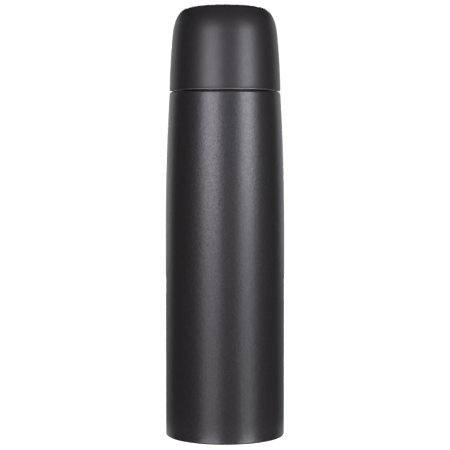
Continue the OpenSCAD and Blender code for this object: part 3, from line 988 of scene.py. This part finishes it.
def make_push_button():
    z = low("push_button")
    wall = 1.5 * MM
    skirt_in = BUTTON_R - wall
    ceiling = BUTTON_TOP - 2.0 * MM
    edge = arc((BUTTON_R - 1.2 * MM, BUTTON_TOP - 1.7 * MM), 1.2 * MM, 0, math.radians(80), 8)
    underside = [
        (STEM_R, BOSS_Z), (BOSS_R - 0.3 * MM, BOSS_Z), (BOSS_R, BOSS_Z + 0.3 * MM),
        (BOSS_R, ceiling - 0.4 * MM), (BOSS_R + 0.4 * MM, ceiling),
        (skirt_in - 0.5 * MM, ceiling), (skirt_in, ceiling - 0.5 * MM),
    ]
    skirt = [
        (skirt_in, z + 0.2 * MM), (skirt_in + 0.2 * MM, z),
        (BUTTON_R - 0.3 * MM, z), (BUTTON_R, z + 0.3 * MM),
    ]
    ring_groove = [
        (10.2 * MM, BUTTON_TOP - 0.32 * MM), (9.6 * MM, BUTTON_TOP - 0.24 * MM),
        (9.2 * MM, BUTTON_TOP - 0.5 * MM), (8.8 * MM, BUTTON_TOP - 0.5 * MM),
    ]
    face = [
        (8.4 * MM, BUTTON_TOP - 0.2 * MM), (6 * MM, BUTTON_TOP - 0.08 * MM),
        (3 * MM, BUTTON_TOP - 0.02 * MM), (0.0, BUTTON_TOP),
    ]
    outline = underside + skirt + edge + ring_groove + face + [(0.0, ceiling), (STEM_R, ceiling)]
    dress(lathe("button_cap", outline), "push_button", "button", "grey_plastic", GREY_PLASTIC)


def make_valve_stem():
    z, high = low("valve_stem"), top("valve_stem")
    ease = 0.4 * MM
    groove = 0.35 * MM
    seat = top("valve_disc") + 0.4 * MM
    outline = [
        (0.0, z), (STEM_R - ease, z), (STEM_R, z + ease), (STEM_R, seat),
        (STEM_R - groove, seat + 0.3 * MM), (STEM_R - groove, seat + 1.1 * MM), (STEM_R, seat + 1.4 * MM),
        (STEM_R, high - ease), (STEM_R - ease, high), (0.0, high),
    ]
    dress(lathe("valve_rod", outline, 64), "valve_stem", "button", "spring_steel", WIRE)


def make_valve_disc():
    z = low("valve_disc")
    seal_z = low("valve_seal")
    edge = 11.2 * MM
    hub = DISC_HUB_R
    outline = soften(
        [
            (STEM_R, z, 0.2 * MM), (hub, z, 0.2 * MM), (hub + 0.6 * MM, z + 0.6 * MM, 0.2 * MM),
            (edge - 1.6 * MM, z + 0.6 * MM, 0.2 * MM), (edge - 1 * MM, z, 0.3 * MM), (edge, z, 0.4 * MM),
            (edge, seal_z, 0.3 * MM), (hub, seal_z, 0.1 * MM), (hub, top("valve_disc"), 0.3 * MM),
            (STEM_R, top("valve_disc"), 0.2 * MM),
        ]
    )
    dress(lathe("valve_plate", outline, 128), "valve_disc", "button", "black_plastic", BLACK_PLASTIC)


def make_valve_seal():
    z, high = low("valve_seal"), top("valve_seal")
    inner, outer = DISC_HUB_R, reach("valve_seal")
    outline = soften(
        [
            (inner, z, 0.2 * MM), (outer, z, 0.4 * MM), (outer, high - 0.5 * MM, 0.3 * MM),
            (outer - 0.8 * MM, high, 0.3 * MM), (inner, high, 0.2 * MM),
        ]
    )
    dress(lathe("valve_ring", outline, 128), "valve_seal", "button", "silicone", SILICONE)


def make_release_tab(side, sign):
    pad_half, plate_half, ear_half = 7 * MM, 6 * MM, 9.2 * MM
    inner_x, ear_x0, ear_x1 = 15 * MM, 21.5 * MM, 23.4 * MM
    slot_half, slot_x0, slot_x1 = 2.2 * MM, 16.6 * MM, 24.9 * MM
    turn = math.asin(pad_half / PAD_R)
    face = arc((0, 0), PAD_R, -turn, turn, 20)
    pad = slab("pad", face + [(PAD_X, pad_half), (PAD_X, -pad_half)], TAB_Z, TAB_TOP)
    pad = round_edges(pad, 0.5 * MM, 3)
    plate_outline = soften(
        [
            (inner_x, -plate_half, 1 * MM), (PAD_X + 0.6 * MM, -plate_half, 0),
            (PAD_X + 0.6 * MM, plate_half, 0), (inner_x, plate_half, 1 * MM),
        ]
    )
    plate = slab("plate", plate_outline, TAB_Z, TAB_Z + 1.2 * MM)
    ears = block("ears", (ear_x0, -ear_half, TAB_Z), (ear_x1, ear_half, TAB_Z + 2.8 * MM))
    fuse(plate, round_edges(ears, 0.3 * MM))
    cut(plate, block("slot", (slot_x0, -slot_half, TAB_Z - 1 * MM), (slot_x1, slot_half, TAB_Z + 5 * MM)))
    piece = fuse(pad, plate)
    grooves = []
    half_width = 0.22 * MM
    for i in range(3):
        z = TAB_Z + (1.3 + 1.1 * i) * MM
        groove = [
            (PAD_R - 0.3 * MM, z), (PAD_R + 1 * MM, z - half_width), (PAD_R + 1 * MM, z + half_width),
        ]
        grooves.append(arc_cutter(f"groove{i}", groove, 0.7 * turn))
    cut(piece, *grooves)
    piece.name = f"release_catch_{side}"
    if sign < 0:
        mirrored(piece)
    dress(piece, f"release_tab_{side}", f"{side}_tab", "grey_plastic", GREY_PLASTIC)


def arc_cutter(name, outline, half_angle, steps=24):
    """An (r, z) outline swept through an arc about +X, as a solid to cut with."""
    sections = []
    for i in range(steps + 1):
        a = -half_angle + 2 * half_angle * i / steps
        sections.append([(r * math.cos(a), r * math.sin(a), z) for r, z in outline])
    return tube(name, sections)


# ---------------------------------------------------------------- cup


def make_cup_liner():
    side = RING_R + RING_GAP
    step_z = top("cup_thread_ring") + 1 * MM
    edge = CUP_R - 0.05 * MM
    ease = 0.18 * MM
    outer = [(side, LIP_Z + ease)] + arc((side + ease, LIP_Z + ease), ease, math.pi, 1.5 * math.pi, 4)[1:]
    outer += arc((edge - ease, LIP_Z + ease), ease, 1.5 * math.pi, 2 * math.pi, 5)
    outer += [(edge, SHELL_Z), (side + SHEET, SHELL_Z), (side + SHEET, step_z - 1 * MM)]
    outer += cup_skin(SHEET + CUP_GAP, step_z)
    inner = [(side, step_z - 1.25 * MM)] + cup_skin(2 * SHEET + CUP_GAP, step_z)
    piece = lathe("cup_bowl_steel", outer + list(reversed(inner)))
    dress(piece, "cup_liner", "cup_bowl", "stainless", STEEL, EDGE_STEEL)
    paint_where(piece, 1, lambda r, z, n: z < SHELL_Z and r > side)


def make_cup_shell():
    half = SHEET / 2
    rim = arc((cup_skin(half, SHELL_Z)[0][0], SHELL_Z + half), half, math.pi, 2 * math.pi, 6)
    inside = cup_skin(SHEET, SHELL_Z + half)[1:]
    outline = rim + cup_skin(0, SHELL_Z + half)[1:] + list(reversed(inside))
    piece = lathe("cup_outer_skin", outline)
    dress(piece, "cup_shell", "cup", "powder_coat", COAT_CUP)


def make_cup_thread_ring():
    z, high = low("cup_thread_ring"), top("cup_thread_ring")
    bore = RING_R - RING_WALL
    outline = soften(
        [(bore, z, 0.5 * MM), (RING_R, z, 0.2 * MM), (RING_R, high, 0.4 * MM), (bore, high, 0.5 * MM)], 5
    )
    piece = lathe("cup_thread_insert", outline)
    fuse(piece, thread("cup_thread", bore, -1, COLLAR_THREAD_Z + LEAD / 2, CUP_TURNS))
    dress(piece, "cup_thread_ring", "cup", "black_plastic", BLACK_PLASTIC)


# ---------------------------------------------------------------- build

make_outer_shell()
make_base_plate()
make_vacuum_base()
make_seal_bead()
make_getter()
make_inner_liner()
make_liner_base()
make_copper_foil()
make_neck_collar()
make_neck_gasket()
make_stopper_body()
make_stopper_cover()
make_stem_seal()
make_button_spring()
make_push_button()
make_valve_stem()
make_valve_disc()
make_valve_seal()
for tab_side, tab_sign in (("left", -1), ("right", 1)):
    make_tab_spring(tab_side, tab_sign)
    make_release_tab(tab_side, tab_sign)
make_cup_liner()
make_cup_shell()
make_cup_thread_ring()


# ---------------------------------------------------------------- floor, light and camera

FLOOR_R = 12.0
FLOOR_Z = -0.2 * MM
FLOOR_GLOW = 1.1
# What the floor throws back close to the foot and far from it, and where the one fades into the other.
FLOOR_NEAR, FLOOR_FAR = 0.95, 0.1
NEAR_FADE = (45 * MM, 85 * MM)

ROOM_COLOUR = (0.95, 0.97, 1.0, 1)
ROOM_GLOW = 0.028
WHITE_GLOW = 1.05

CAMERA_PLACE = (0, -1.0636, 0.2018)
CAMERA_TILT_DEG = 2.747
LENS = 118.9

LIGHT_DISTANCE = 1.3
LIGHT_AIM_Z = 0.2
KEY_LEFT = (0.925, 0.93, 1.0)
KEY_RIGHT = (0.91, 0.935, 1.0)
FILL = (0.75, 0.83, 1.0)

# Name, degrees from the front towards +X, height of its middle, panel width and height, watts, colour.
SOFTBOXES = (
    ("left_low", -26, 0.2, 0.74, 0.26, 4.9, KEY_LEFT),
    ("left_high", -29, 0.5, 0.74, 0.3, 9.2, KEY_LEFT),
    ("right_low", 42, 0.2, 0.6, 0.26, 4.4, KEY_RIGHT),
    ("right_high", 46.5, 0.5, 0.62, 0.3, 9.9, KEY_RIGHT),
    ("front_low", 8, 0.25, 0.3, 0.25, 0.2, FILL),
    ("front_high", 8, 0.58, 0.3, 0.25, 0.5, FILL),
    ("rim_left", -146, 0.36, 1.0, 0.7, 2.2, KEY_LEFT),
    ("rim_right", 148, 0.36, 0.95, 0.7, 1.9, KEY_RIGHT),
    ("back", 180, 0.45, 0.45, 0.8, 14.0, KEY_RIGHT),
)


def seen_by_camera(tree, to_camera, otherwise, output):
    """Shows the camera one shader, and lights the scene with another."""
    path = tree.nodes.new("ShaderNodeLightPath")
    mix = tree.nodes.new("ShaderNodeMixShader")
    tree.links.new(path.outputs["Is Camera Ray"], mix.inputs["Fac"])
    tree.links.new(otherwise, mix.inputs[1])
    tree.links.new(to_camera, mix.inputs[2])
    tree.links.new(mix.outputs["Shader"], tree.nodes[output].inputs["Surface"])


def make_floor():
    """A pale floor, bright to look at, that throws little light on the object except close to its foot."""
    bm = bmesh.new()
    bmesh.ops.create_circle(bm, cap_ends=True, radius=FLOOR_R, segments=96)
    floor = finish_mesh(bm, "floor")
    look = Look("pale_floor")
    look.colours(look.noise(3, 2, 0.5), (0.3, (0.86, 0.86, 0.86)), (0.7, (0.89, 0.89, 0.89)))
    look.set(Emission_Color=(1, 1, 1, 1), Emission_Strength=FLOOR_GLOW)
    look.set(Roughness=0.7, Specular_IOR_Level=0.0)
    dim = look.node("ShaderNodeBsdfPrincipled")
    dim.inputs["Roughness"].default_value = 0.25
    dim.inputs["Specular IOR Level"].default_value = 0.4
    from_axis = look.node("ShaderNodeVectorMath", operation="LENGTH")
    look.link(look.place, from_axis.inputs[0])
    near = look.spread(from_axis.outputs["Value"], 1.0, 0.0, *NEAR_FADE)
    look.link(near, dim.inputs["Metallic"])
    tone = look.node("ShaderNodeCombineColor")
    for channel in ("Red", "Green", "Blue"):
        look.link(look.spread(near, FLOOR_FAR, FLOOR_NEAR, 0.0, 1.0), tone.inputs[channel])
    look.link(tone.outputs["Color"], dim.inputs["Base Color"])
    seen_by_camera(look.tree, look.shader.outputs["BSDF"], dim.outputs["BSDF"], "Material Output")
    floor.data.materials.append(look.material)
    floor.location.z = FLOOR_Z


def make_softbox(name, azimuth, height, width, tall, watts, colour, distance=LIGHT_DISTANCE):
    """A rectangular light that faces the axis at LIGHT_AIM_Z."""
    data = bpy.data.lights.new(name, "AREA")
    data.shape = "RECTANGLE"
    data.size = width
    data.size_y = tall
    data.energy = watts
    data.color = colour
    light = bpy.data.objects.new(name, data)
    a = math.radians(azimuth)
    light.location = (distance * math.sin(a), -distance * math.cos(a), height)
    aim = Vector((0, 0, LIGHT_AIM_Z)) - light.location
    light.rotation_euler = aim.to_track_quat("-Z", "Y").to_euler()
    light.visible_camera = False
    bpy.context.scene.collection.objects.link(light)


def make_world():
    """White behind the object, and a dim even room everywhere else."""
    world = bpy.data.worlds.new("studio")
    bpy.context.scene.world = world
    world.use_nodes = True
    tree = world.node_tree
    room = tree.nodes["Background"]
    room.inputs["Color"].default_value = ROOM_COLOUR
    room.inputs["Strength"].default_value = ROOM_GLOW
    white = tree.nodes.new("ShaderNodeBackground")
    white.inputs["Color"].default_value = (1, 1, 1, 1)
    white.inputs["Strength"].default_value = WHITE_GLOW
    seen_by_camera(tree, white.outputs["Background"], room.outputs["Background"], "World Output")


def make_camera():
    """A long lens at the front, looking slightly down."""
    data = bpy.data.cameras.new("camera")
    data.lens = LENS
    data.sensor_width = 36
    data.clip_start = 0.05
    camera = bpy.data.objects.new("camera", data)
    camera.location = CAMERA_PLACE
    camera.rotation_euler = (math.radians(90 - CAMERA_TILT_DEG), 0, 0)
    bpy.context.scene.collection.objects.link(camera)
    bpy.context.scene.camera = camera


make_floor()
for softbox in SOFTBOXES:
    make_softbox(*softbox)
make_softbox("ceiling", 0, 1.7, 2.4, 2.4, 2.0, FILL, distance=0)
make_world()
make_camera()
bpy.context.scene.view_settings.view_transform = "Standard"
